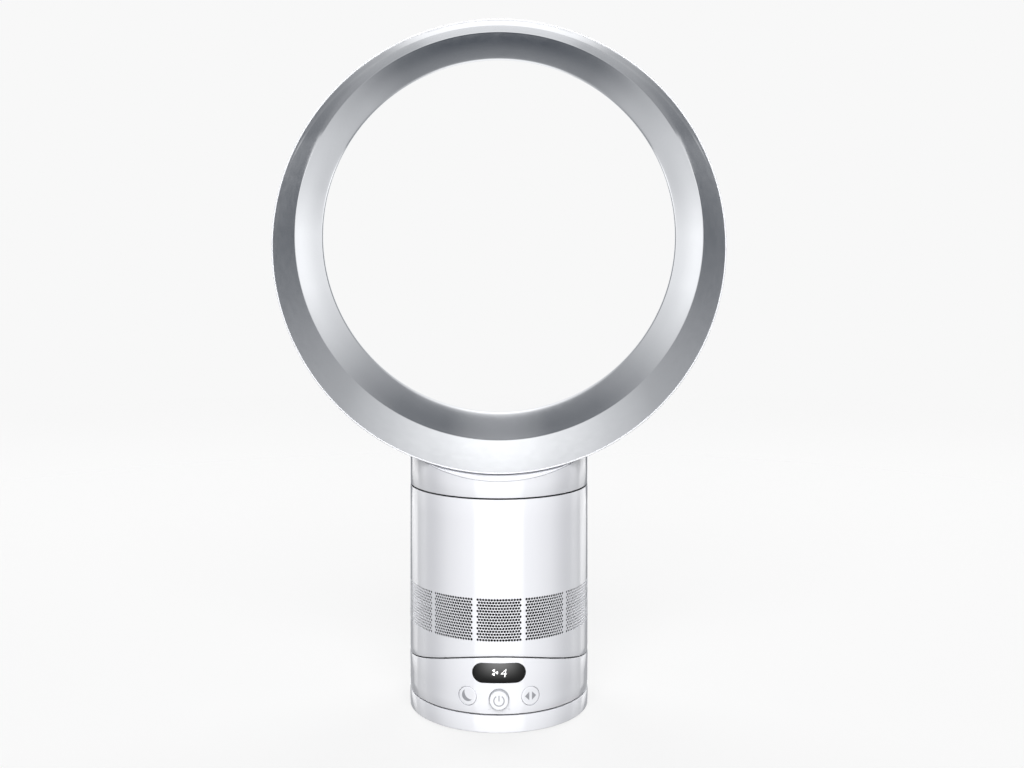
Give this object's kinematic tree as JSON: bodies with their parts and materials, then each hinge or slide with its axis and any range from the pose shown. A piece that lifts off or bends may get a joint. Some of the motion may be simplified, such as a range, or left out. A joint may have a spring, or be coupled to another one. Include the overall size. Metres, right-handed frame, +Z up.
{
  "type": "bladeless desk fan",
  "caption": "Bladeless desk fan: eccentric ring air outlet on a perforated round body that tilts on a curved cradle and swings on a fixed foot, with display, buttons and dial.",
  "frame": {"origin": "bottom centre of the foot, on the surface the fan stands on", "axes": "+Z up, front with the display and controls towards -Y, +X to the right seen from behind the controls' opposite side (a viewer in front sees +X on the right)"},
  "size_m": [0.306, 0.1286, 0.4736],
  "materials": {
    "white_gloss": "white injection-moulded ABS, high gloss",
    "satin_nickel": "vacuum-metallised nickel colour on ABS, satin",
    "smoked_lens": "smoked polycarbonate display window",
    "grey_abs": "dark grey ABS, fine texture",
    "black_nylon": "black glass-filled nylon",
    "natural_acetal": "natural acetal, low friction",
    "rubber_black": "black elastomer",
    "black_foam": "open-cell acoustic foam",
    "zinc_steel": "zinc-plated steel",
    "lamination_steel": "stacked steel laminations",
    "copper_wire": "enamelled copper winding",
    "board_green": "green solder mask on glass-epoxy board"
  },
  "bodies": {
    "foot": {"foot_shell": "white_gloss", "foot_cover": "zinc_steel", "rubber_ring": "rubber_black", "foot_screws": "zinc_steel", "dc_inlet_jack": "black_nylon", "glide_ring": "natural_acetal", "slew_gear": "natural_acetal", "spindle_clip": "zinc_steel"},
    "base": {"base_chassis": "grey_abs", "base_casing": "white_gloss", "tilt_cradle": "grey_abs", "cradle_screws": "zinc_steel", "display_lens": "smoked_lens", "display_module": "black_nylon", "main_board": "board_green", "tact_switches": "black_nylon", "knob_encoder": "black_nylon", "oscillation_motor": "zinc_steel", "motor_screws": "zinc_steel"},
    "sleep_key": {"sleep_button": "white_gloss"},
    "oscillate_key": {"oscillate_button": "white_gloss"},
    "dial_stem": {"knob_stem": "grey_abs"},
    "dial": {"power_knob": "white_gloss"},
    "pinion": {"drive_pinion": "natural_acetal"},
    "tilt_body": {"body_casing": "white_gloss", "tilt_skid": "grey_abs", "tilt_runners": "natural_acetal", "floor_foam": "black_foam", "inlet_foam": "black_foam", "impeller_housing": "grey_abs", "housing_seal": "rubber_black", "shaft_bearings": "zinc_steel", "motor_bucket_lower": "grey_abs", "motor_bucket_upper": "grey_abs", "motor_stator": "lamination_steel", "stator_coils": "copper_wire", "diffuser_vanes": "grey_abs", "bayonet_ring": "grey_abs", "neck_gasket": "rubber_black", "loop_neck": "white_gloss", "loop_shell": "white_gloss", "loop_shroud": "satin_nickel", "slot_spacers": "grey_abs", "remote_magnets": "lamination_steel"},
    "rotor": {"impeller": "black_nylon", "motor_rotor": "zinc_steel"}
  },
  "joints": [
    {"name": "oscillation", "type": "hinge", "parent": "foot", "child": "base", "pos_m": [0, 0, 0.0131], "axis": [0, 0, 1], "range_deg": [-35, 35]},
    {"name": "pinion_spin", "type": "hinge", "parent": "base", "child": "pinion", "pos_m": [0, 0.0375, 0.0225], "axis": [0, 0, 1], "range_deg": [-142, 142]},
    {"name": "tilt", "type": "hinge", "parent": "base", "child": "tilt_body", "pos_m": [0, 0, 0.1918], "axis": [1, 0, 0], "range_deg": [-10, 10]},
    {"name": "impeller_spin", "type": "hinge", "parent": "tilt_body", "child": "rotor", "pos_m": [0, 0, 0.119], "axis": [0, 0, 1], "continuous": true},
    {"name": "sleep_press", "type": "slide", "parent": "base", "child": "sleep_key", "axis": [0.3338, 0.9426, 0], "range_m": [0, 0.0008], "stiffness_N_per_m": 500, "springref_m": -0.001},
    {"name": "oscillate_press", "type": "slide", "parent": "base", "child": "oscillate_key", "axis": [-0.3338, 0.9426, 0], "range_m": [0, 0.0008], "stiffness_N_per_m": 500, "springref_m": -0.001},
    {"name": "dial_press", "type": "slide", "parent": "base", "child": "dial_stem", "axis": [0, 1, 0], "range_m": [0, 0.0008], "stiffness_N_per_m": 700, "springref_m": -0.001},
    {"name": "dial_turn", "type": "hinge", "parent": "dial_stem", "child": "dial", "pos_m": [0, -0.062, 0.0236], "axis": [0, 1, 0], "range_deg": [-18, 18], "stiffness_Nm_per_rad": 0.05}
  ],
  "couplings": [
    {"joint": "pinion_spin", "follows": "oscillation", "ratio": 4}
  ]
}
